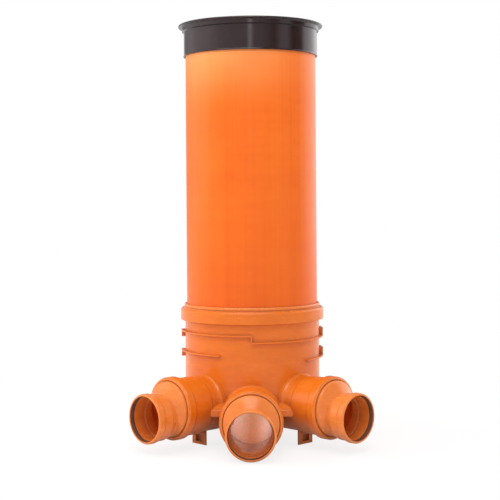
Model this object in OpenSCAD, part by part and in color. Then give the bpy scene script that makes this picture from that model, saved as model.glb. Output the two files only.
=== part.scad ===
// Drain inspection chamber: a moulded base with three socketed inlets and one spigot outlet,
// a plain riser pipe, a lid, and an eccentric reducer pushed into each inlet.
// The origin is on the riser's axis, on the ground. The main inlet faces -Y and the outlet +Y.

/* [Riser pipe] */
// Outside diameter of the riser pipe
riser_od = 400; // [380:5:420]
// Wall of the riser pipe
riser_wall = 9.8; // [7:0.2:12]
// Length of the riser pipe
riser_length = 1000; // [600:50:2000]

/* [Base body] */
// Wall of the base's body
base_wall = 5; // [4:0.5:7]
// Clearance around the riser in the base
riser_fit = 0.8; // [0.4:0.1:1.2]
// Height of the body's open lower edge above the ground
skirt_height = 83; // [75:1:90]
// Height of the thickened rim along that edge
rim_height = 16; // [10:1:20]
// How far that rim stands out of the body
rim_reach = 2.4; // [1.6:0.2:3.6]
// Height of the ledge on which the riser stands
seat_height = 243; // [225:1:255]
// Thickness of that ledge
seat_thick = 7; // [5:1:10]
// Height of the bench at the body's wall
bench_edge = 126; // [118:1:150]
// Height of the bench at the body's middle
bench_middle = 102; // [98:1:110]
// Thickness of the bench
bench_thick = 5; // [4:0.5:7]

/* [Collar] */
// Height of the collar band's lower edge above the riser's ledge
collar_rise = 114; // [105:1:140]
// Height of the collar band
collar_height = 34.5; // [30:0.5:48]
// Chamfer at the collar band's upper and lower edge
collar_bevel = 4; // [2:0.5:6]
// Width of the seal groove inside the collar band
riser_groove = 12; // [10:0.5:14]
// Wall of the collar band outside that groove
collar_wall = 6.2; // [5:0.2:8]
// Height of the riser's seal
riser_seal_height = 19; // [14:1:22]
// Height of the collar ring that stands above the band
ring_height = 13.5; // [8:0.5:18]
// Wall of the collar ring above the band
ring_wall = 7; // [4:0.5:8]

/* [Anchor ribs] */
// How far the anchor ribs stand out of the body
rib_reach = 11.8; // [6:0.2:14]
// Thickness of the anchor ribs
rib_thick = 4; // [3:0.5:6]
// Height of the upper rib in its low quarters
upper_rib = 303; // [298:1:312]
// Height of the lower rib in its low quarters
lower_rib = 243; // [236:1:252]
// Height of the step from a low quarter to a high one
rib_step = 20; // [12:1:24]
// Bare angle from the inlet's line to the lower rib in its high quarters
high_gap = 26; // [20:1:40]
// Bare angle from the inlet's line to the lower rib in its low quarters
low_gap = 50; // [40:1:60]

/* [Inlets] */
// Outside diameter of the pipe that an inlet takes
pipe_od = 160; // [155:1:162]
// Clearance around that pipe
pipe_fit = 0.4; // [0.2:0.1:0.8]
// Wall of that pipe, of the channels and of the outlet
pipe_wall = 4; // [3.2:0.2:5]
// Wall of an inlet's or the outlet's tube near the body
tube_wall = 4.6; // [4.2:0.2:6]
// Wall of an inlet's socket
socket_wall = 3.8; // [3:0.2:5]
// Depth of an inlet's socket
socket_depth = 92; // [85:1:105]
// How far an inlet's tube widens where it leaves the body
inlet_flare = 8; // [4:1:12]
// Length of the slope from an inlet's tube up to its socket
socket_slope = 6; // [4:1:12]
// Distance from the riser's axis to an inlet's mouth
inlet_reach = 336; // [330:1:360]
// Height of the main inlet's axis above the ground
main_height = 92.5; // [92.5:0.5:100]
// How far the side inlets' axes lie above the main one
side_rise = 25.4; // [20:0.2:32]
// Angle between the main inlet and a side inlet
side_angle = 45; // [42:1:60]
// Length of the bead at an inlet's mouth
bead_length = 31; // [28:1:36]
// Depth of the seal groove inside the bead
groove_depth = 6; // [5:0.2:6.6]
// Wall of the bead outside that groove
bead_wall = 4.6; // [4:0.2:5.4]
// Length of the seal in the bead
seal_length = 12; // [8:1:14]
// Length of the retaining ring in front of the seal
keeper_length = 9; // [6:1:12]
// How far the retaining ring stands out of the mouth
keeper_lip = 1.8; // [1:0.2:3]
// Gap between the retaining ring and the pipe
keeper_gap = 1; // [0.6:0.1:2.6]

/* [Outlet] */
// Distance from the riser's axis to the outlet's end
outlet_reach = 330; // [300:5:360]
// Length of the chamfer at the end of the outlet and of a reducer's spigot
spigot_chamfer = 6; // [3:1:10]

/* [Reducers] */
// Outside diameter of the pipe that a reducer takes
small_od = 125; // [120:1:126]
// Clearance around that pipe
small_fit = 0.3; // [0.2:0.1:0.6]
// Distance from an inlet's mouth to the reducer's mouth
reducer_reach = 94; // [90:1:110]
// Depth of the reducer's socket
small_depth = 52; // [46:1:54]
// Wall of the reducer's socket
small_wall = 4.5; // [4:0.1:5.2]
// Depth of the seal groove in the reducer's bead
small_groove = 5; // [4.4:0.2:6]
// Wall of the reducer's bead outside that groove
small_bead_wall = 3.4; // [2.8:0.1:4.6]
// Length of the reducer's bead
small_bead = 27; // [22:1:30]
// Length of the reducer's seal
small_seal = 13; // [8:1:14]
// Thickness of the lip in front of the reducer's seal
small_lip = 2.6; // [2:0.2:5]
// How far that lip stands back from the pipe
lip_back = 2.2; // [1.4:0.2:3]
// How much narrower the neck is than the pipe, on each side
neck_step = 1; // [0:0.2:2]
// Length of the slope from the neck up to the reducer's socket
neck_slope = 18; // [12:1:24]
// Step between the reducer's wide end and its neck at the invert
invert_step = 0.5; // [0.4:0.1:1]
// Rounding of the reducer's shoulder
shoulder_round = 9; // [5:1:11]
// Angle through which that rounding turns before the slope to the neck
shoulder_turn = 55; // [40:1:70]
// How far the reducer's wide end stands out of the inlet before its shoulder
shoulder_start = 4; // [3:0.5:8]
// How far the seals' lips stand off the pipes that they touch
seal_gap = 0.3; // [0.2:0.1:0.5]

/* [Lid] */
// Clearance around the riser in the lid
lid_fit = 0.8; // [0.5:0.1:1.5]
// Wall of the lid's skirt
lid_wall = 4; // [3:0.5:5]
// Height of the lid's skirt below its flange
lid_skirt = 89; // [70:1:110]
// Thickness of the lid's plate
lid_plate = 4.5; // [3.5:0.5:6]
// How far the lid's flange stands out of the band below it
lid_rim = 11.8; // [6:0.2:16]
// Thickness of the lid's flange
lid_flange = 6; // [4:0.5:8]
// Height of the thickened band under the flange
lid_band = 12.5; // [8:0.5:16]
// Wall of that band
lid_band_wall = 10.2; // [8:0.2:12]
// How far the skirt's lower edge turns out
lid_hook = 1.4; // [0.8:0.2:2.4]

/* [Feet] */
// Radius of the pad below the middle of the channel
pad_r = 30; // [20:1:40]
// Width of a foot
foot_width = 59; // [50:1:64]
// Thickness of a foot's outer plate
foot_wall = 4; // [3:0.5:6]
// Distance from the riser's axis to the front feet's outer face
foot_reach = 222.5; // [218:0.5:228]
// Depth of a foot's stem behind that plate
foot_depth = 9; // [7:1:10]
// Width of the pocket in a foot
foot_pocket = 29; // [20:1:34]
// Height of the pocket's lower edge
pocket_low = 8; // [5:1:12]
// Height of the pocket
pocket_height = 20; // [14:1:22]

/* [Hidden] */
$fn = 128;

orange = [0.91, 0.40, 0.12];
pipe_orange = [0.96, 0.42, 0.13];
black = [0.05, 0.05, 0.05];
rubber = [0.09, 0.07, 0.06];

over = 1;                                     // how far a cut runs past a face
riser_r = riser_od / 2;
bore_r = riser_r + riser_fit;
body_r = bore_r + base_wall;

// Collar, from the ground up
band_low = seat_height + collar_rise;
band_high = band_low + collar_height;
groove_r = bore_r + riser_groove;
band_r = groove_r + collar_wall;
ring_sink = 9;                                // how far the collar ring reaches into the groove
ring_play = 0.3;                              // gap between the collar ring and the groove's wall
ring_low = band_high - ring_sink;
riser_groove_low = ring_low - riser_seal_height;

// Inlets, along their axes
pipe_r = pipe_od / 2;
flow_r = pipe_r - pipe_wall;
socket_r = pipe_r + pipe_fit;
stub_r = socket_r + socket_wall;
inlet_groove_r = socket_r + groove_depth;
bead_r = inlet_groove_r + bead_wall;
keeper_step = 1.5;                            // shoulder that the retaining ring seats on
keeper_r = inlet_groove_r + keeper_step;
socket_end = inlet_reach - socket_depth;
keeper_end = inlet_reach - keeper_length;
bead_start = inlet_reach - bead_length;
tube_r = flow_r + tube_wall;
stub_start = body_r - 6 * base_wall;
flare_start = body_r - 20;                    // where a tube's flare begins, inside the body
side_height = main_height + side_rise;
INLETS = [[0, main_height], [-side_angle, side_height], [side_angle, side_height]];

// Reducers, along their axes
small_r = small_od / 2;
neck_r = small_r - neck_step;
neck_flow = neck_r - pipe_wall;
drop = pipe_r - neck_r - invert_step;         // how far the narrow end lies below the wide one
small_socket_r = small_r + small_fit;
small_body_r = small_socket_r + small_wall;
small_groove_r = small_socket_r + small_groove;
small_bead_r = small_groove_r + small_bead_wall;
mouth = inlet_reach + reducer_reach;
small_end = mouth - small_depth;
small_bead_start = mouth - small_bead;
small_groove_end = mouth - small_lip;
spigot_start = socket_end + 4;
small_round = 5;                              // rounding of the reducer's mouth
shoulder = inlet_reach + shoulder_start;

// Lid, from its seat on the riser
riser_top = seat_height + riser_length;
lid_r = riser_r + lid_fit + lid_wall;
lid_band_r = riser_r + lid_band_wall;
flange_r = lid_band_r + lid_rim;
lid_top = riser_top + 2 * lid_flange;
flange_low = lid_top - lid_flange;
band_under = flange_low - lid_band;
lid_low = flange_low - lid_skirt;

function arc(x, y, r, from, to, steps = 6) =
    [for (i = [0:steps]) let (a = from + (to - from) * i / steps) [x + r * cos(a), y + r * sin(a)]];

module revolve(points) rotate_extrude() polygon(points);

// Turns a shape's +Z to point out of an inlet, with its +Y up.
module along_inlet(inlet) translate([0, 0, inlet[1]]) rotate([0, 0, inlet[0]]) rotate([90, 0, 0]) children();

module tube_from(start, end, r) translate([0, 0, start]) cylinder(h = end - start, r = r);

// Body wall, collar band and riser ledge, turned so that their seam lies between ribs.
module body_shell() rotate([0, 0, 60]) {
    revolve([[bore_r, skirt_height], [body_r + rim_reach, skirt_height],
             [body_r + rim_reach, skirt_height + rim_height], [body_r, skirt_height + rim_height + rim_reach],
             [body_r, band_low - collar_bevel], [band_r, band_low],
             [band_r, band_high - collar_bevel], [band_r - collar_bevel, band_high],
             [groove_r, band_high], [groove_r, riser_groove_low], [bore_r, riser_groove_low]]);
    revolve([[riser_r - riser_wall, seat_height - seat_thick], [body_r - 1, seat_height - seat_thick],
             [body_r - 1, seat_height], [riser_r - riser_wall, seat_height]]);
}

// Sloping floor beside the channels.
module bench()
    revolve([[0, bench_middle - bench_thick], [body_r - 1, bench_edge - bench_thick],
             [body_r - 1, bench_edge], [0, bench_middle]]);

// Room above the bench, inside the body.
module chamber_room()
    revolve([[0, bench_middle], [bore_r, bench_edge],
             [bore_r, seat_height - seat_thick], [0, seat_height - seat_thick]]);

// Tube, socket and bead.
module inlet_outside()
    revolve([[0, stub_start], [tube_r, stub_start], [tube_r, socket_end - socket_slope],
             [stub_r - 1, socket_end - 1], [stub_r, socket_end], [stub_r, bead_start],
             [bead_r - 1.5, bead_start + 5], [bead_r, bead_start + 8],
             [bead_r, inlet_reach - 3], [bead_r - 2, inlet_reach], [0, inlet_reach]]);

// Hollow rounding where a tube leaves the body's wall. It ends just above the body's lower edge,
// and a little higher on a raised inlet, so that two neighbours don't end in one plane.
module inlet_root(height) {
    root_low = skirt_height + over + (height - main_height) / 10;
    intersection() {
        revolve([[0, flare_start], [tube_r + inlet_flare, flare_start], [tube_r + 0.8 * inlet_flare, body_r],
                 [tube_r + 0.3 * inlet_flare, body_r + 0.6 * inlet_flare],
                 [tube_r - 0.5, body_r + 1.7 * inlet_flare], [0, body_r + 1.7 * inlet_flare]]);
        translate([-2 * tube_r, root_low - height, 0]) cube([4 * tube_r, 4 * tube_r, inlet_reach]);
    }
}

module inlet_inside() {
    tube_from(0, inlet_reach, flow_r);
    tube_from(socket_end, inlet_reach, socket_r);
    tube_from(keeper_end - seal_length, inlet_reach, inlet_groove_r);
    tube_from(keeper_end, inlet_reach + over, keeper_r);
}

module outlet_outside()
    rotate([0, 0, 180]) along_inlet(INLETS[0])
        revolve([[0, stub_start], [tube_r, stub_start], [tube_r, body_r + 2 * inlet_flare],
                 [pipe_r, body_r + 2.3 * inlet_flare], [pipe_r, outlet_reach - spigot_chamfer], [pipe_r - pipe_wall / 2, outlet_reach],
                 [0, outlet_reach]]);

module outlet_inside()
    rotate([0, 0, 180]) along_inlet(INLETS[0]) tube_from(-over, outlet_reach + over, flow_r);

// A flat rib around part of the body, from one angle to another, both from the main inlet's line.
module rib(from, to, height)
    translate([0, 0, height - rib_thick / 2]) rotate([0, 0, from - 90])
        rotate_extrude(angle = to - from)
            translate([bore_r + 1, 0]) square([rib_reach + base_wall - 1, rib_thick]);

// An upright rib that joins the two heights.
module riser_rib(angle, height)
    rotate([0, 0, angle])
        translate([-rib_thick / 2, -body_r - rib_reach + 0.4, height - rib_thick / 2 + 0.3])
            cube([rib_thick, rib_reach + base_wall / 2, rib_step + rib_thick - 0.6]);

module anchor_ribs() {
    for (quarter = [-90, 0, 90, 180])
        rib(quarter, quarter + 90, upper_rib + (quarter == -90 || quarter == 90 ? rib_step : 0));
    for (angle = [-90, 0, 90, 180]) riser_rib(angle, upper_rib);
    for (turn = [0, 180]) {
        rib(turn - 90, turn - high_gap, lower_rib + rib_step);
        rib(turn + low_gap, turn + 90, lower_rib);
        riser_rib(turn + 90, lower_rib);
    }
}

// A foot: an outer plate with a pocketed stem behind it.
module foot(reach, top)
    difference() {
        union() {
            translate([-foot_width / 2, -reach, 0]) cube([foot_width, foot_wall, top]);
            translate([-foot_pocket / 2 - foot_wall, -reach + foot_wall - 0.5, 0])
                cube([foot_pocket + 2 * foot_wall, foot_depth + 0.5, top]);
        }
        translate([-foot_pocket / 2, -reach - over, pocket_low])
            cube([foot_pocket, foot_depth + over, pocket_height]);
    }

module feet() {
    for (side = [-1, 1]) {
        rotate([0, 0, side * side_angle]) foot(foot_reach, side_height - flow_r / 2);
        rotate([0, 0, 180 + side * side_angle]) foot(bore_r, bench_middle);
    }
}

module base()
    color(orange)
        difference() {
            union() {
                body_shell();
                bench();
                anchor_ribs();
                feet();
                cylinder(h = main_height, r = pad_r);
                outlet_outside();
                for (inlet = INLETS) along_inlet(inlet) {
                    inlet_outside();
                    inlet_root(inlet[1]);
                    tube_from(0, stub_start + over, tube_r);
                }
                rotate([0, 0, 180]) along_inlet(INLETS[0]) {
                    inlet_root(main_height);
                    tube_from(-over, stub_start + over, tube_r);
                }
            }
            chamber_room();
            outlet_inside();
            for (inlet = INLETS) along_inlet(inlet) inlet_inside();
        }

module riser()
    color(pipe_orange) translate([0, 0, seat_height])
        difference() {
            cylinder(h = riser_length, r = riser_r);
            translate([0, 0, -over]) cylinder(h = riser_length + 2 * over, r = riser_r - riser_wall);
        }

// Lip seal around the riser: a block in the groove with two lips that lean on the pipe.
module riser_seal() {
    low = riser_groove_low;
    lip = riser_r + seal_gap;
    back = groove_r - ring_play;
    color(rubber)
        revolve([[back, low], [back, ring_low], [back - 4, ring_low], [back - 5, ring_low - 4],
                 [lip, low + 11], [lip, low + 8.5], [back - 5, low + 8], [lip + 1, low + 2], [lip + 1, low]]);
}

// Ring that snaps into the band's groove and holds the seal down.
module collar_ring() {
    inner = bore_r + 0.5;
    outer = inner + ring_wall;
    top = band_high + ring_height;
    color(orange)
        revolve([[inner, ring_low + 3], [inner + 3, ring_low], [groove_r - ring_play, ring_low],
                 [groove_r - ring_play, band_high], [outer - 2, band_high + 2],
                 [outer - 2, band_high + 4], [outer, band_high + 6], [outer, top - 3],
                 [outer - 3, top], [inner, top]]);
}

// Lip seal in an inlet's bead.
module inlet_seal(inlet) {
    low = keeper_end - seal_length;
    lip = pipe_r + seal_gap;
    back = inlet_groove_r - 0.1;
    color(rubber) along_inlet(inlet)
        revolve([[back, low], [back, keeper_end], [back - 3, keeper_end], [back - 3, keeper_end - 3],
                 [lip, low + 5], [lip, low + 3], [back - 3, low + 2], [socket_r + 0.5, low]]);
}

// Ring that keeps an inlet's seal in its bead.
module keeper_ring(inlet) {
    inner = pipe_r + keeper_gap;
    outer = keeper_r - 0.1;
    color(orange) along_inlet(inlet)
        revolve([[inner, keeper_end], [outer, keeper_end], [outer, inlet_reach],
                 [outer - 2, inlet_reach + keeper_lip], [inner + 1.5, inlet_reach + keeper_lip],
                 [inner, inlet_reach + keeper_lip - 1.5]]);
}

// The reducer's wide end, whose shoulder turns into a slope that meets the neck.
// The same profile, one wall further in, is its inside.
module wide_end(inset, start) {
    turn_r = shoulder_round - inset;
    edge = pipe_r - shoulder_round + turn_r * cos(shoulder_turn);
    height = shoulder + turn_r * sin(shoulder_turn);
    slope = (edge - neck_r / 2) / tan(shoulder_turn);
    revolve(concat(start, arc(pipe_r - shoulder_round, shoulder, turn_r, 0, shoulder_turn, 8),
                   [[neck_r / 2, height + slope], [0, height + slope]]));
}

// Outside of the reducer's neck, socket and bead.
module narrow_end()
    revolve(concat([[0, shoulder], [neck_r, shoulder], [neck_r, small_end - neck_slope + 2],
                    [small_body_r, small_end + 2], [small_body_r, small_bead_start],
                    [small_bead_r - 1, small_bead_start + 6], [small_bead_r, small_bead_start + 10]],
                   arc(small_bead_r - small_round, mouth - small_round, small_round, 0, 80, 8),
                   [[small_socket_r + lip_back + 0.6, mouth], [0, mouth]]));

module reducer(inlet)
    color(orange) along_inlet(inlet)
        difference() {
            union() {
                wide_end(0, [[0, spigot_start], [pipe_r - pipe_wall / 2, spigot_start],
                             [pipe_r, spigot_start + spigot_chamfer]]);
                translate([0, -drop, 0]) narrow_end();
            }
            wide_end(pipe_wall, [[0, spigot_start - over], [flow_r, spigot_start - over]]);
            translate([0, -drop, 0]) {
                tube_from(shoulder - pipe_wall, mouth, neck_flow);
                tube_from(small_end, mouth, small_socket_r);
                tube_from(small_groove_end - small_seal, small_groove_end, small_groove_r);
                tube_from(small_groove_end - over, mouth + over, small_socket_r + lip_back);
            }
        }

// Lip seal in a reducer's bead.
module reducer_seal(inlet) {
    low = small_groove_end - small_seal;
    back = small_groove_r - 0.1;
    lip = small_r + seal_gap;
    color(rubber) along_inlet(inlet) translate([0, -drop, 0])
        revolve([[back, low + 0.1], [back, small_groove_end - 0.1], [lip + lip_back, small_groove_end - 0.1],
                 [lip, low + 5], [lip, low + 3], [small_socket_r + 1.5, low + 0.1]]);
}

module lid()
    color(black)
        revolve([[0, riser_top], [riser_r + lid_fit, riser_top], [riser_r + lid_fit, lid_low],
                 [lid_r + lid_hook, lid_low], [lid_r + lid_hook, lid_low + 1.5], [lid_r, lid_low + 4],
                 [lid_r, band_under - 2], [lid_band_r, band_under],
                 [lid_band_r + 1, flange_low - 1.5], [lid_band_r + 2.5, flange_low],
                 [flange_r - 1.5, flange_low], [flange_r, flange_low + 1.5],
                 [flange_r, lid_top - 2], [flange_r - 2, lid_top],
                 [riser_r - 2, lid_top], [riser_r - 5, riser_top + lid_plate], [0, riser_top + lid_plate]]);

base();
riser();
lid();
riser_seal();
collar_ring();
inlet_seal(INLETS[0]);  // front_inlet_seal
inlet_seal(INLETS[1]);  // left_inlet_seal
inlet_seal(INLETS[2]);  // right_inlet_seal
keeper_ring(INLETS[0]);  // front_keeper_ring
keeper_ring(INLETS[1]);  // left_keeper_ring
keeper_ring(INLETS[2]);  // right_keeper_ring
reducer(INLETS[0]);  // front_reducer
reducer(INLETS[1]);  // left_reducer
reducer(INLETS[2]);  // right_reducer
reducer_seal(INLETS[0]);  // front_reducer_seal
reducer_seal(INLETS[1]);  // left_reducer_seal
reducer_seal(INLETS[2]);  // right_reducer_seal
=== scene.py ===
import math
import bmesh
import bpy
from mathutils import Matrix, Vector


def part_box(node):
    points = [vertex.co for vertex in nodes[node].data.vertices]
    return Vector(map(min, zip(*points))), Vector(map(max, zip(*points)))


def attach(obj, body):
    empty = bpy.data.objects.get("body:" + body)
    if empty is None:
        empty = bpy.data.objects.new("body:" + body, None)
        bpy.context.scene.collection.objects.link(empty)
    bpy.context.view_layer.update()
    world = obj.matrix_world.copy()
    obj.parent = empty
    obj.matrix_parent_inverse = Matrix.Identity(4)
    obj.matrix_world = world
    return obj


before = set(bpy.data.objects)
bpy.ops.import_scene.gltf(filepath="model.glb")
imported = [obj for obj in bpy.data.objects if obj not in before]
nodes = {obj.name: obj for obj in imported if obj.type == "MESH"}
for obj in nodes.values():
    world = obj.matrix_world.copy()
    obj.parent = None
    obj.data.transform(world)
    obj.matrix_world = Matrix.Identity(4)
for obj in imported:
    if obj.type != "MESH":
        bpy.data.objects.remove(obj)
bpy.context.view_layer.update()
scene = bpy.context.scene
scene.view_settings.view_transform = "Standard"


# ---------------------------------------------------------------- camera

SENSOR_WIDTH = 36
LENS = 86.81
SHIFT = (-0.0027, -0.1018)
CAMERA_REACH = 3.717
CAMERA_HEIGHT = 0.7223
CAMERA_TURN = math.radians(0.8)
CAMERA_ROLL = math.radians(0.4)
FARTHEST_SEEN = 60


def make_camera():
    data = bpy.data.cameras.new("camera")
    data.sensor_width = SENSOR_WIDTH
    data.lens = LENS
    data.shift_x, data.shift_y = SHIFT
    data.clip_end = FARTHEST_SEEN
    camera = bpy.data.objects.new("camera", data)
    scene.collection.objects.link(camera)
    camera.location = (CAMERA_REACH * math.sin(CAMERA_TURN), -CAMERA_REACH * math.cos(CAMERA_TURN), CAMERA_HEIGHT)
    camera.rotation_euler = (math.pi / 2, CAMERA_ROLL, CAMERA_TURN)
    scene.camera = camera


# ---------------------------------------------------------------- node helpers

def add(tree, kind, inputs=None, **settings):
    """A new node with its settings made, and its inputs linked or set."""
    node = tree.nodes.new(kind)
    for key, value in settings.items():
        setattr(node, key, value)
    for key, value in (inputs or {}).items():
        socket = node.inputs[key]
        if isinstance(value, bpy.types.NodeSocket):
            tree.links.new(value, socket)
        else:
            socket.default_value = value
    return node


def maths(tree, operation, a, b=0.0, clamp=False):
    return add(tree, "ShaderNodeMath", {0: a, 1: b}, operation=operation, use_clamp=clamp).outputs[0]


def plus_share(tree, value, mask, share, clamp=False):
    """A value raised by a share of a mask."""
    return maths(tree, "ADD", value, maths(tree, "MULTIPLY", mask, share), clamp)


def spread(tree, value, from_min, from_max, to_min=0.0, to_max=1.0):
    node = add(tree, "ShaderNodeMapRange", {"Value": value, "From Min": from_min, "From Max": from_max,
                                            "To Min": to_min, "To Max": to_max})
    return node.outputs[0]


def noise(tree, vector, scale, detail=2.0, roughness=0.5):
    return add(tree, "ShaderNodeTexNoise", {"Vector": vector, "Scale": scale, "Detail": detail,
                                            "Roughness": roughness}).outputs[0]


def drifting(tree, vector, scale, detail, roughness=0.5):
    """Noise that goes as far below nought as above it."""
    return spread(tree, noise(tree, vector, scale, detail, roughness), 0.3, 0.7, -0.5, 0.5)


def stretched(tree, vector, factors):
    return add(tree, "ShaderNodeVectorMath", {0: vector, 1: factors}, operation="MULTIPLY").outputs[0]


def mixed(tree, factor, a, b):
    return add(tree, "ShaderNodeMix", {0: factor, 6: a, 7: b}, data_type="RGBA").outputs[2]


def tinted(tree, tone, colour, mask, share):
    """A tone taken part of the way to a colour where a mask is."""
    return mixed(tree, maths(tree, "MULTIPLY", mask, share), tone, colour)


def object_place(tree):
    return add(tree, "ShaderNodeTexCoord").outputs["Object"]


def new_group(name, inputs, outputs):
    group = bpy.data.node_groups.new(name, "ShaderNodeTree")
    for label, kind, default in inputs:
        socket = group.interface.new_socket(label, in_out="INPUT", socket_type="NodeSocket" + kind)
        if default is not None:
            socket.default_value = default
    for label, kind in outputs:
        group.interface.new_socket(label, in_out="OUTPUT", socket_type="NodeSocket" + kind)
    return group, group.nodes.new("NodeGroupInput"), group.nodes.new("NodeGroupOutput")


def use_group(tree, group, inputs):
    return add(tree, "ShaderNodeGroup", inputs, node_tree=group)


# ---------------------------------------------------------------- shared effects

def moulded_skin():
    """Colour that drifts slowly with finer flow marks in it, over a fine orange-peel relief."""
    group, given, out = new_group(
        "moulded_skin",
        [("Vector", "Vector", None), ("Drift", "Float", 0.5), ("Flow", "Float", 0.3),
         ("Peel", "Float", 0.1), ("Normal", "Vector", None)],
        [("Shade", "Float"), ("Gloss", "Float"), ("Normal", "Vector")])
    place = given.outputs["Vector"]
    slow = drifting(group, place, 3.1, 3.0)
    flow = drifting(group, stretched(group, place, (1.0, 1.0, 3.5)), 17.0, 4.0, 0.6)
    shade = maths(group, "ADD", maths(group, "MULTIPLY", slow, given.outputs["Drift"]),
                  maths(group, "MULTIPLY", flow, given.outputs["Flow"]))
    group.links.new(shade, out.inputs["Shade"])
    fine = spread(group, noise(group, place, 60.0, 3.0), 0.35, 0.65, -0.5, 0.5)
    group.links.new(maths(group, "ADD", flow, fine), out.inputs["Gloss"])
    peel_depth = 0.0006
    bump = add(group, "ShaderNodeBump", {"Strength": given.outputs["Peel"], "Distance": peel_depth,
                                         "Height": noise(group, place, 420.0), "Normal": given.outputs["Normal"]})
    group.links.new(bump.outputs[0], out.inputs["Normal"])
    return group


def handling_marks():
    """Thin rub marks and small scuffs left by handling, as a mask."""
    group, given, out = new_group(
        "handling_marks",
        [("Vector", "Vector", None), ("Density", "Float", 0.5)],
        [("Mask", "Float")])
    place = given.outputs["Vector"]
    line_width = 0.006
    marks = None
    for turn, scale in ((0.35, 26.0), (1.9, 34.0), (2.7, 21.0)):
        bent = add(group, "ShaderNodeMapping", {"Vector": place, "Rotation": (turn, 0.4 * turn, turn),
                                                "Scale": (1.0, 0.05, 1.0)}).outputs[0]
        off_middle = maths(group, "ABSOLUTE", maths(group, "SUBTRACT", noise(group, bent, scale * 3, 1.0), 0.5))
        line = spread(group, off_middle, 0.0, line_width, 1.0, 0.0)
        where = spread(group, noise(group, place, scale * 0.3, 1.0), 0.60, 0.68)
        one = maths(group, "MULTIPLY", line, where)
        marks = one if marks is None else maths(group, "MAXIMUM", marks, one)
    scuff = spread(group, noise(group, place, 95.0, 5.0, 0.75), 0.66, 0.74)
    patch = spread(group, noise(group, place, 7.0, 1.0), 0.56, 0.68)
    marks = maths(group, "MAXIMUM", marks, maths(group, "MULTIPLY", scuff, patch))
    group.links.new(maths(group, "MULTIPLY", marks, given.outputs["Density"]), out.inputs["Mask"])
    return group


def soft_edges():
    """Rounded normals along every edge, and a mask of the edges themselves."""
    group, given, out = new_group(
        "soft_edges",
        [("Radius", "Float", 0.0015)],
        [("Normal", "Vector"), ("Edge", "Float")])
    bevel = add(group, "ShaderNodeBevel", {"Radius": given.outputs["Radius"]}, samples=6)
    flat = add(group, "ShaderNodeNewGeometry").outputs["Normal"]
    same = add(group, "ShaderNodeVectorMath", {0: bevel.outputs[0], 1: flat}, operation="DOT_PRODUCT")
    group.links.new(bevel.outputs[0], out.inputs["Normal"])
    group.links.new(spread(group, same.outputs["Value"], 0.995, 0.85), out.inputs["Edge"])
    return group


def pipe_streaks():
    """Long faint streaks that run along an extruded pipe, and rings where its calibrator rested."""
    group, given, out = new_group(
        "pipe_streaks",
        [("Vector", "Vector", None)],
        [("Streak", "Float"), ("Ring", "Float")])
    place = given.outputs["Vector"]
    wide = drifting(group, stretched(group, place, (1.0, 1.0, 0.03)), 14.0, 3.0)
    fine = drifting(group, stretched(group, place, (1.0, 1.0, 0.008)), 120.0, 2.0)
    group.links.new(plus_share(group, wide, fine, 0.6), out.inputs["Streak"])
    ring = drifting(group, stretched(group, place, (0.04, 0.04, 1.0)), 22.0, 3.0)
    group.links.new(ring, out.inputs["Ring"])
    return group


def painted_recess_shade():
    """Painted shade: a mask, broken up by noise, of places that ambient occlusion finds closed in: inside the
    tubes, under the body and in corners.
    """
    group, given, out = new_group(
        "painted_recess_shade",
        [("Vector", "Vector", None), ("Distance", "Float", 0.12), ("Amount", "Float", 0.5)],
        [("Mask", "Float")])
    air = add(group, "ShaderNodeAmbientOcclusion", {"Distance": given.outputs["Distance"]}, samples=8)
    closed = spread(group, air.outputs["AO"], 0.62, 0.12)
    patchy = spread(group, noise(group, given.outputs["Vector"], 32.0, 4.0, 0.65), 0.3, 0.7, 0.75, 1.15)
    mask = maths(group, "MULTIPLY", closed, patchy, clamp=True)
    group.links.new(maths(group, "MULTIPLY", mask, given.outputs["Amount"]), out.inputs["Mask"])
    return group


def painted_light_gradient():
    """Painted light on a pipe: a painted glow near its upper end, most towards -X, and painted shade farther down.
    """
    group, given, out = new_group(
        "painted_light_gradient",
        [("Vector", "Vector", None), ("Top", "Float", 1.2), ("Depth", "Float", 0.16)],
        [("Pale", "Float"), ("Deep", "Float")])
    split = add(group, "ShaderNodeSeparateXYZ", {0: given.outputs["Vector"]})
    below = maths(group, "DIVIDE", maths(group, "SUBTRACT", given.outputs["Top"], split.outputs["Z"]),
                  given.outputs["Depth"])
    near = maths(group, "POWER", spread(group, below, 1.0, 0.0), 1.4)
    side = spread(group, split.outputs["X"], 0.13, -0.02, 0.35, 1.0)
    patchy = spread(group, noise(group, given.outputs["Vector"], 9.0, 3.0), 0.3, 0.7, 0.8, 1.1)
    pale = maths(group, "MULTIPLY", maths(group, "MULTIPLY", near, side), patchy, clamp=True)
    group.links.new(pale, out.inputs["Pale"])
    group.links.new(spread(group, below, 1.5, 5.5), out.inputs["Deep"])
    return group


SKIN, MARKS, EDGES, STREAKS = moulded_skin(), handling_marks(), soft_edges(), pipe_streaks()
RECESS_SHADE, LIGHT_GRADIENT = painted_recess_shade(), painted_light_gradient()


# ---------------------------------------------------------------- plastics and rubber

# painted shade: the brown that closed-in places are darkened to, and how far the occlusion looks
SHADE_BROWN = (0.24, 0.098, 0.042, 1)
SHADE_REACH = 0.12
# painted light on the riser: the orange of the painted glow at its top, and the depth that glow and shade are
# measured in
GLOW_ORANGE = (0.95, 0.36, 0.11, 1)
GRADIENT_DEPTH = 0.17
MOULDED = {"flow": 0.3, "peel": 0.09, "marks": 0.25, "mirror": 0.4}
EXTRUDED = {"flow": 0.12, "peel": 0.05, "marks": 0.35, "mirror": 0.3}
LID_BLACKS = ((0.014, 0.0025, 0.003, 1), (0.022, 0.006, 0.007, 1))
LID_SCUFF = (0.09, 0.08, 0.075, 1)
LID_ROUGH = 0.13
# the seals' dark tone is the rubber's own; their brown is painted reflection of the orange parts around them
RUBBER_BROWNS = ((0.080, 0.030, 0.018, 1), (0.140, 0.056, 0.034, 1))
RUBBER_DUST = (0.16, 0.10, 0.07, 1)
RUBBER_ROUGH = 0.58


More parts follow.
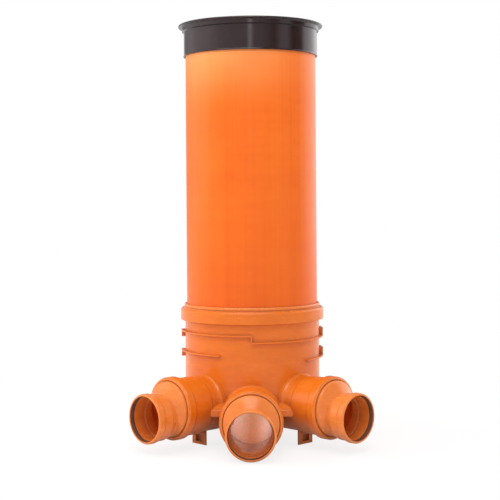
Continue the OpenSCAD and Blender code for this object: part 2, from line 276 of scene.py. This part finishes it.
def new_material(name):
    material = bpy.data.materials.new(name)
    material.use_nodes = True
    tree = material.node_tree
    tree.nodes.clear()
    shader = tree.nodes.new("ShaderNodeBsdfPrincipled")
    out = tree.nodes.new("ShaderNodeOutputMaterial")
    tree.links.new(shader.outputs[0], out.inputs["Surface"])
    return material, tree, shader


def skin_on(tree, place, edge_radius, drift, flow, peel):
    """The rounded edges, and the moulded skin that lies over them."""
    edges = use_group(tree, EDGES, {"Radius": edge_radius})
    skin = use_group(tree, SKIN, {"Vector": place, "Drift": drift, "Flow": flow, "Peel": peel,
                                  "Normal": edges.outputs["Normal"]})
    return edges, skin


def orange_plastic(name, colour, pale, deep, rough, shade_amount, extruded=False):
    """Orange pipe plastic, with a paler and a deeper tone that its colour drifts to."""
    material, tree, shader = new_material(name)
    place = object_place(tree)
    finish = EXTRUDED if extruded else MOULDED
    edges, skin = skin_on(tree, place, 0.0012, 0.35, finish["flow"], finish["peel"])
    marks = use_group(tree, MARKS, {"Vector": place, "Density": finish["marks"]}).outputs["Mask"]
    shade = skin.outputs["Shade"]
    if extruded:
        streaks = use_group(tree, STREAKS, {"Vector": place})
        shade = plus_share(tree, shade, streaks.outputs["Streak"], 0.28)
        shade = plus_share(tree, shade, streaks.outputs["Ring"], 0.12)
    tone = mixed(tree, spread(tree, shade, 0.0, 0.5), colour, pale)
    tone = mixed(tree, spread(tree, shade, 0.0, -0.5), tone, deep)
    if extruded:
        # painted glow near the riser's top and painted shade lower down
        light_gradient = use_group(tree, LIGHT_GRADIENT, {"Vector": place, "Top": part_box("lid")[0][2], "Depth": GRADIENT_DEPTH})
        tone = tinted(tree, tone, deep, light_gradient.outputs["Deep"], 0.45)
        tone = tinted(tree, tone, GLOW_ORANGE, light_gradient.outputs["Pale"], 0.72)
    tone = tinted(tree, tone, pale, marks, 0.5)
    # painted highlight: the tone goes paler along every edge
    tone = tinted(tree, tone, pale, edges.outputs["Edge"], 0.55)
    # painted shade: closed-in places darkened towards brown, and made rougher there
    painted_shade = use_group(tree, RECESS_SHADE, {"Vector": place, "Distance": SHADE_REACH, "Amount": shade_amount}).outputs["Mask"]
    tone = mixed(tree, painted_shade, tone, SHADE_BROWN)
    tree.links.new(tone, shader.inputs["Base Color"])
    gloss = plus_share(tree, rough, skin.outputs["Gloss"], 0.05)
    gloss = plus_share(tree, gloss, marks, 0.2)
    gloss = plus_share(tree, gloss, painted_shade, 0.45, clamp=True)
    tree.links.new(gloss, shader.inputs["Roughness"])
    tree.links.new(skin.outputs["Normal"], shader.inputs["Normal"])
    shader.inputs["Specular IOR Level"].default_value = finish["mirror"]
    return material


def black_plastic():
    material, tree, shader = new_material("lid_black")
    place = object_place(tree)
    edges, skin = skin_on(tree, place, 0.0015, 0.4, 0.5, 0.05)
    marks = use_group(tree, MARKS, {"Vector": place, "Density": 0.5}).outputs["Mask"]
    tone = mixed(tree, spread(tree, skin.outputs["Shade"], -0.4, 0.4), *LID_BLACKS)
    tone = tinted(tree, tone, LID_SCUFF, marks, 0.4)
    tree.links.new(tone, shader.inputs["Base Color"])
    gloss = plus_share(tree, LID_ROUGH, skin.outputs["Gloss"], 0.05)
    gloss = plus_share(tree, gloss, marks, 0.25, clamp=True)
    tree.links.new(gloss, shader.inputs["Roughness"])
    tree.links.new(skin.outputs["Normal"], shader.inputs["Normal"])
    return material


def seal_rubber():
    material, tree, shader = new_material("seal_rubber")
    place = object_place(tree)
    edges, skin = skin_on(tree, place, 0.0008, 0.5, 0.6, 0.25)
    dust = spread(tree, noise(tree, place, 150.0, 4.0, 0.7), 0.5, 0.72)
    # dark rubber, with a painted orange-brown reflection in its tone
    tone = mixed(tree, spread(tree, skin.outputs["Shade"], -0.5, 0.5), *RUBBER_BROWNS)
    tone = tinted(tree, tone, RUBBER_DUST, dust, 0.35)
    tree.links.new(tone, shader.inputs["Base Color"])
    tree.links.new(plus_share(tree, RUBBER_ROUGH, dust, 0.2), shader.inputs["Roughness"])
    tree.links.new(skin.outputs["Normal"], shader.inputs["Normal"])
    return material


# ---------------------------------------------------------------- studio

# Brightness that a gloss surface mirrors from each side of the studio, by the angle from the
# camera's side towards the left.
STUDIO = [(-180, 0.15), (-170, 0.6), (-150, 1.9), (-108, 1.6), (-98, 0.3), (-78, 0.2), (-66, 1.0), (-54, 0.9),
          (-43, 0.3), (-22, 0.7), (-5, 0.8), (-2, 2.6), (1, 2.6), (4, 0.8), (30, 0.85), (50, 1.0), (78, 1.4),
          (120, 1.1), (137, 0.6), (152, 0.35), (168, 1.0), (174, 0.4), (180, 0.15)]
# a ramp holds no tone over 1, so the studio's tones are stored at half and doubled again
STORED = 2
AMBIENT = 0.66
FLOOR_REACH = 9.0
FLOOR_SIDES = 96
FLOOR_WHITE = (0.9, 0.9, 0.9, 1)
FLOOR_GLOW = 0.8
MIRRORED_GLOW = 0.3
SHADOW_REACH = (0.75, 1.5)
WHITE = (1, 1, 1, 1)


def make_floor():
    """A white disc that keeps the chamber's shadow near it and turns to plain white farther out."""
    mesh = bpy.data.meshes.new("floor")
    step = 2 * math.pi / FLOOR_SIDES
    ring = [(FLOOR_REACH * math.cos(i * step), FLOOR_REACH * math.sin(i * step), 0.0) for i in range(FLOOR_SIDES)]
    mesh.from_pydata(ring, [], [list(range(FLOOR_SIDES))])
    floor = bpy.data.objects.new("floor", mesh)
    scene.collection.objects.link(floor)
    material = bpy.data.materials.new("pale_floor")
    material.use_nodes = True
    tree = material.node_tree
    tree.nodes.clear()
    away = add(tree, "ShaderNodeVectorMath", {0: object_place(tree)}, operation="LENGTH").outputs["Value"]
    far = spread(tree, away, *SHADOW_REACH)
    path = add(tree, "ShaderNodeLightPath")
    direct = maths(tree, "MAXIMUM", path.outputs["Is Camera Ray"], path.outputs["Is Transmission Ray"])
    near_glow = maths(tree, "MAXIMUM", maths(tree, "MULTIPLY", direct, FLOOR_GLOW),
                      maths(tree, "MULTIPLY", path.outputs["Is Glossy Ray"], MIRRORED_GLOW))
    seen = maths(tree, "MAXIMUM", direct, path.outputs["Is Glossy Ray"])
    white = add(tree, "ShaderNodeBsdfDiffuse", {"Color": FLOOR_WHITE}).outputs[0]
    glow = add(tree, "ShaderNodeEmission", {"Color": WHITE, "Strength": 1.0}).outputs[0]
    share = add(tree, "ShaderNodeMix", {0: far, 2: near_glow, 3: seen}, data_type="FLOAT").outputs[0]
    both = add(tree, "ShaderNodeMixShader", {0: share, 1: white, 2: glow}).outputs[0]
    out = tree.nodes.new("ShaderNodeOutputMaterial")
    tree.links.new(both, out.inputs["Surface"])
    mesh.materials.append(material)


def make_world():
    world = bpy.data.worlds.new("studio")
    scene.world = world
    world.use_nodes = True
    tree = world.node_tree
    tree.nodes.clear()
    way = add(tree, "ShaderNodeTexCoord").outputs["Generated"]
    split = add(tree, "ShaderNodeSeparateXYZ", {0: way})
    left = maths(tree, "MULTIPLY", split.outputs["X"], -1.0)
    front = maths(tree, "MULTIPLY", split.outputs["Y"], -1.0)
    angle = maths(tree, "DIVIDE", maths(tree, "ARCTAN2", left, front), 2 * math.pi)
    tones = add(tree, "ShaderNodeValToRGB", {0: maths(tree, "ADD", angle, 0.5)})
    ramp = tones.color_ramp
    for degrees, tone in STUDIO[1:-1]:
        ramp.elements.new(degrees / 360 + 0.5).color = (tone / STORED,) * 3 + (1,)
    for end in (0, -1):
        ramp.elements[end].color = (STUDIO[end][1] / STORED,) * 3 + (1,)
    # the studio is darker overhead, where the panels show
    walls = spread(tree, split.outputs["Z"], 0.35, 0.75, STORED, 0.55 * STORED)
    sides = maths(tree, "MULTIPLY", tones.outputs[0], walls)
    path = add(tree, "ShaderNodeLightPath")
    seen = maths(tree, "MAXIMUM", path.outputs["Is Camera Ray"], path.outputs["Is Transmission Ray"])
    other = add(tree, "ShaderNodeMix", {0: path.outputs["Is Glossy Ray"], 2: AMBIENT, 3: sides}, data_type="FLOAT")
    strength = add(tree, "ShaderNodeMix", {0: seen, 2: other.outputs[0], 3: 1.0}, data_type="FLOAT").outputs[0]
    back = add(tree, "ShaderNodeBackground", {"Color": WHITE, "Strength": strength})
    out = tree.nodes.new("ShaderNodeOutputWorld")
    tree.links.new(back.outputs[0], out.inputs["Surface"])


def panel(name, place, aim, size, radiance, mirrored=False):
    """A soft panel of a given brightness, facing a point. Only a mirrored one shows in gloss."""
    data = bpy.data.lights.new(name, "AREA")
    data.shape = "RECTANGLE"
    data.size, data.size_y = size
    data.energy = radiance * math.pi * size[0] * size[1]
    lamp = bpy.data.objects.new(name, data)
    scene.collection.objects.link(lamp)
    lamp.location = place
    lamp.rotation_euler = (Vector(aim) - Vector(place)).to_track_quat("-Z", "Y").to_euler()
    lamp.visible_camera = False
    lamp.visible_glossy = mirrored
    return lamp


def around(angle, reach, height):
    """A place at an angle round the object, from the camera's side towards +X."""
    a = math.radians(angle)
    return (reach * math.sin(a), -reach * math.cos(a), height)


def make_lights():
    high, middle, low = (0, 0, 0.9), (0, 0, 0.65), (0, 0, 0.5)
    panel("left", around(-90, 3.0, 1.6), high, (2.2, 1.9), 4.2)
    panel("right", around(122, 3.0, 1.0), middle, (2.0, 2.8), 2.4)
    panel("above_camera", around(-14, 4.4, 2.3), high, (1.6, 1.0), 0.8)
    panel("near_top", (-0.1, -2.1, 2.6), (0, 0, 0.7), (1.9, 0.7), 6.0, mirrored=True)
    panel("overhead", (-0.3, -0.4, 3.4), low, (2.2, 2.0), 2.0, mirrored=True)
    # light that reaches the channels through the chamber above them
    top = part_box("riser")[1][2]
    inside = panel("inside_riser", (0, -0.05, 0.55 * top), (0, 0.05, 0), (0.2, 0.2), 10.0)
    inside.data.color = (0.9, 1.0, 0.62)
    # a warm sheen in the main channel, from beyond the outlet
    beyond = panel("beyond_outlet", (0, 0.85, 0.15), (0, 0, 0.06), (0.34, 0.2), 0.62, mirrored=True)
    beyond.data.color = (1.0, 0.68, 0.28)


# ---------------------------------------------------------------- webs between the inlets

# The outline on the +X side, from the front inlet to the side inlet and back along the body.
WEB_OUTLINE = [(0.076, -0.238), (0.104, -0.238), (0.1155, -0.237), (0.121, -0.234), (0.128, -0.226),
               (0.128, -0.200), (0.104, -0.195), (0.076, -0.195)]
WEB_UNDERSIDE = 0.0925
WEB_FRONT_TOP = 0.114
WEB_RISE = 0.45
WEB_ROUND = 0.003


def inlet_web(name, side, material):
    """The short moulded web that joins the front inlet to a side inlet at the body's lower edge.
    Its top rises towards the body."""
    front = WEB_OUTLINE[0][1]
    shape = bmesh.new()
    bottom = [shape.verts.new((side * x, y, WEB_UNDERSIDE)) for x, y in WEB_OUTLINE]
    top = [shape.verts.new((side * x, y, WEB_FRONT_TOP + WEB_RISE * (y - front))) for x, y in WEB_OUTLINE]
    shape.faces.new(bottom)
    shape.faces.new(top)
    for i in range(len(WEB_OUTLINE)):
        shape.faces.new((bottom[i - 1], bottom[i], top[i], top[i - 1]))
    bmesh.ops.recalc_face_normals(shape, faces=shape.faces)
    bmesh.ops.bevel(shape, geom=shape.edges[:], offset=WEB_ROUND, segments=3, affect="EDGES", clamp_overlap=True)
    mesh = bpy.data.meshes.new(name)
    shape.to_mesh(mesh)
    shape.free()
    mesh.materials.append(material)
    piece = bpy.data.objects.new(name, mesh)
    scene.collection.objects.link(piece)
    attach(piece, "root")


# ---------------------------------------------------------------- build

make_camera()
make_world()
make_floor()
make_lights()

riser_orange = orange_plastic("riser_orange", (0.86, 0.146, 0.006, 1), (0.91, 0.186, 0.016, 1),
                              (0.72, 0.100, 0.003, 1), 0.36, 0.2, extruded=True)
moulded_orange = orange_plastic("moulded_orange", (0.77, 0.170, 0.009, 1), (0.84, 0.235, 0.032, 1),
                                (0.63, 0.122, 0.006, 1), 0.24, 0.75)
fitting_orange = orange_plastic("fitting_orange", (0.79, 0.213, 0.038, 1), (0.87, 0.285, 0.072, 1),
                                (0.67, 0.148, 0.018, 1), 0.25, 0.7)
lid_black = black_plastic()
rubber = seal_rubber()

for name, obj in nodes.items():
    if "seal" in name:
        material = rubber
    elif name == "lid":
        material = lid_black
    elif name == "riser":
        material = riser_orange
    elif "reducer" in name or "ring" in name:
        material = fitting_orange
    else:
        material = moulded_orange
    if not obj.material_slots:
        obj.data.materials.append(material)
    for slot in obj.material_slots:
        slot.material = material

inlet_web("left_inlet_web", -1, moulded_orange)
inlet_web("right_inlet_web", 1, moulded_orange)
